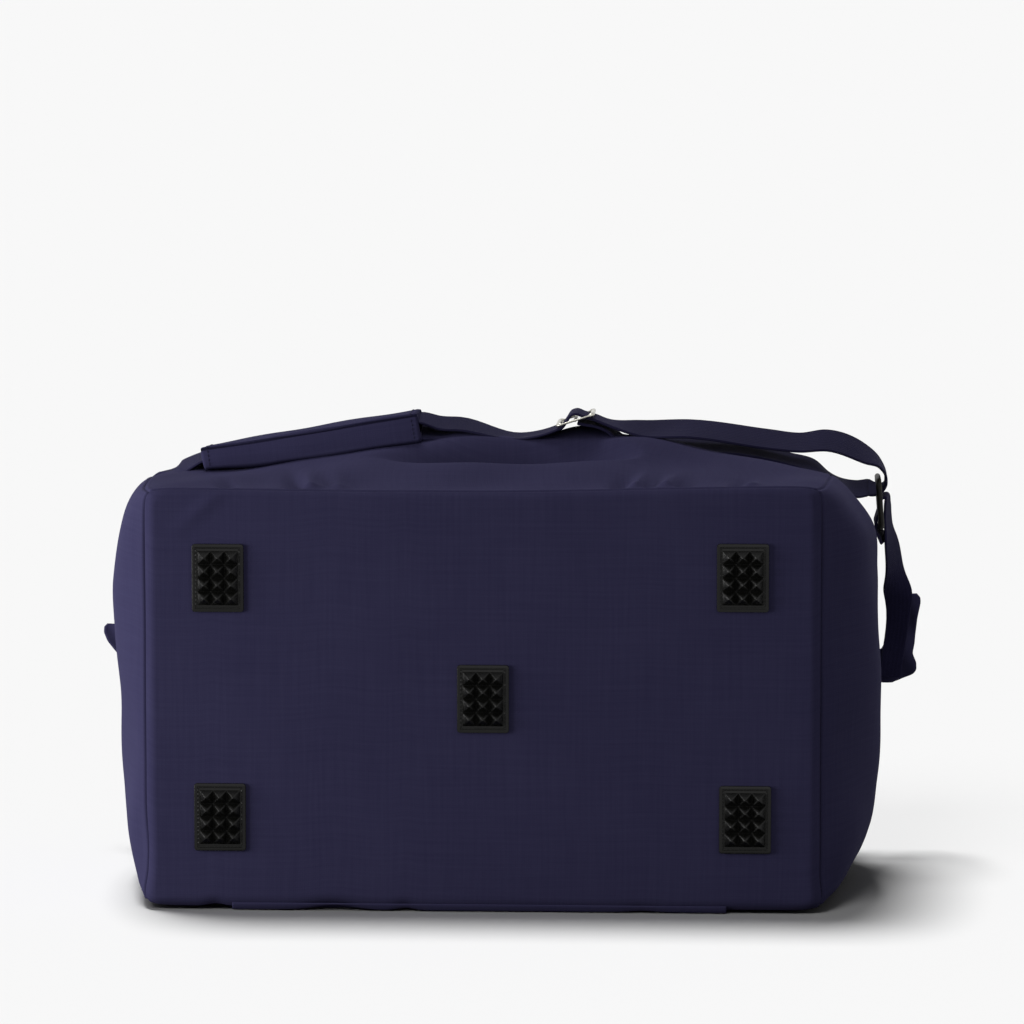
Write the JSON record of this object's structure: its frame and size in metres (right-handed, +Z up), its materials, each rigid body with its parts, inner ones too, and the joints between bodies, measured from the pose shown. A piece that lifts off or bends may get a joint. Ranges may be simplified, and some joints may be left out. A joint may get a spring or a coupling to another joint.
{
  "type": "duffel bag",
  "caption": "Soft navy duffel bag lying on its back, with a studded rubber-footed base, a zipped two-flap mouth, folding carry handles and an adjustable shoulder strap.",
  "frame": {"origin": "on the flat outer face of the back pocket that the bag lies on, under the middle of the body", "axes": "+X along the bag's length, +Y from the studded base to the zipped mouth, +Z up from the floor through the front panel"},
  "size_m": [0.6413, 0.3229, 0.3536],
  "materials": {
    "navy_canvas": "plain woven navy canvas, matte",
    "navy_webbing": "ribbed navy webbing, dull sheen",
    "navy_lining": "thin woven lining",
    "black_rubber": "moulded black rubber, satin",
    "black_board": "extruded plastic stiffener board",
    "zip_tape": "woven zip tape",
    "zip_coil": "nylon zip coil",
    "gunmetal": "gunmetal plated die casting",
    "black_metal": "black coated steel wire, edges worn"
  },
  "bodies": {
    "bag": {"base_panel": "navy_canvas", "front_panel": "navy_canvas", "front_gusset": "navy_canvas", "back_panel": "navy_canvas", "back_gusset": "navy_canvas", "left_end_panel": "navy_canvas", "right_end_panel": "navy_canvas", "back_pocket": "navy_canvas", "left_mouth_end": "navy_canvas", "right_mouth_end": "navy_canvas", "left_end_tab": "navy_canvas", "right_end_tab": "navy_canvas", "shoulder_strap": "navy_webbing", "strap_return": "navy_webbing", "left_anchor": "navy_webbing", "right_anchor": "navy_webbing", "front_handle_tab_left": "navy_webbing", "front_handle_tab_right": "navy_webbing", "back_handle_tab_left": "navy_webbing", "back_handle_tab_right": "navy_webbing", "foot_upper_left": "black_rubber", "foot_upper_right": "black_rubber", "foot_middle": "black_rubber", "foot_lower_left": "black_rubber", "foot_lower_right": "black_rubber", "lining": "navy_lining", "base_board": "black_board", "tri_glide": "gunmetal"},
    "front_flap": {"front_flap": "navy_canvas", "front_zip_tape": "zip_tape", "front_zip_coil": "zip_coil"},
    "back_flap": {"back_flap": "navy_canvas", "back_zip_tape": "zip_tape", "back_zip_coil": "zip_coil"},
    "zip_slider_left": {"zip_slider_left": "gunmetal"},
    "zip_slider_right": {"zip_slider_right": "gunmetal"},
    "zip_pull_left": {"zip_pull_left": "gunmetal"},
    "zip_pull_right": {"zip_pull_right": "gunmetal"},
    "front_handle": {"front_handle": "navy_webbing"},
    "back_handle": {"back_handle": "navy_webbing"},
    "left_ring": {"left_ring": "black_metal"},
    "right_ring": {"right_ring": "black_metal"},
    "shoulder_pad": {"shoulder_pad": "navy_canvas"}
  },
  "joints": [
    {"name": "front_flap_hinge", "type": "hinge", "parent": "bag", "child": "front_flap", "pos_m": [0, 0.1565, 0.2455], "axis": [1, 0, 0], "range_deg": [0, 80]},
    {"name": "back_flap_hinge", "type": "hinge", "parent": "bag", "child": "back_flap", "pos_m": [0, 0.1565, 0.0645], "axis": [1, 0, 0], "range_deg": [-80, 0]},
    {"name": "zip_slider_left_slide", "type": "slide", "parent": "front_flap", "child": "zip_slider_left", "axis": [1, 0, 0], "range_m": [-0.19, 0]},
    {"name": "zip_slider_right_slide", "type": "slide", "parent": "front_flap", "child": "zip_slider_right", "axis": [1, 0, 0], "range_m": [0, 0.19]},
    {"name": "zip_pull_left_swing", "type": "hinge", "parent": "zip_slider_left", "child": "zip_pull_left", "pos_m": [-0.007, 0.1582, 0.155], "axis": [0, 0, -1], "range_deg": [0, 100]},
    {"name": "zip_pull_right_swing", "type": "hinge", "parent": "zip_slider_right", "child": "zip_pull_right", "pos_m": [0.007, 0.1582, 0.155], "axis": [0, 0, 1], "range_deg": [0, 100]},
    {"name": "front_handle_swing", "type": "hinge", "parent": "bag", "child": "front_handle", "pos_m": [0, 0.14784, 0.26539], "axis": [-1, 0, 0], "range_deg": [0, 95]},
    {"name": "back_handle_swing", "type": "hinge", "parent": "bag", "child": "back_handle", "pos_m": [0, 0.1475, 0.04502], "axis": [1, 0, 0], "range_deg": [-5, 90]},
    {"name": "left_ring_swing", "type": "hinge", "parent": "bag", "child": "left_ring", "pos_m": [-0.277, 0.128, 0.2165], "axis": [0, -1, 0], "range_deg": [0, 4]},
    {"name": "right_ring_swing", "type": "hinge", "parent": "bag", "child": "right_ring", "pos_m": [0.2956, 0.115, 0.259], "axis": [0, 1, 0], "range_deg": [0, 4]},
    {"name": "shoulder_pad_slide", "type": "slide", "parent": "bag", "child": "shoulder_pad", "axis": [0.9836, 0, 0.1804], "range_m": [-0.012, 0.012]}
  ],
  "couplings": [
    {"joint": "back_flap_hinge", "follows": "front_flap_hinge", "ratio": -1}
  ]
}
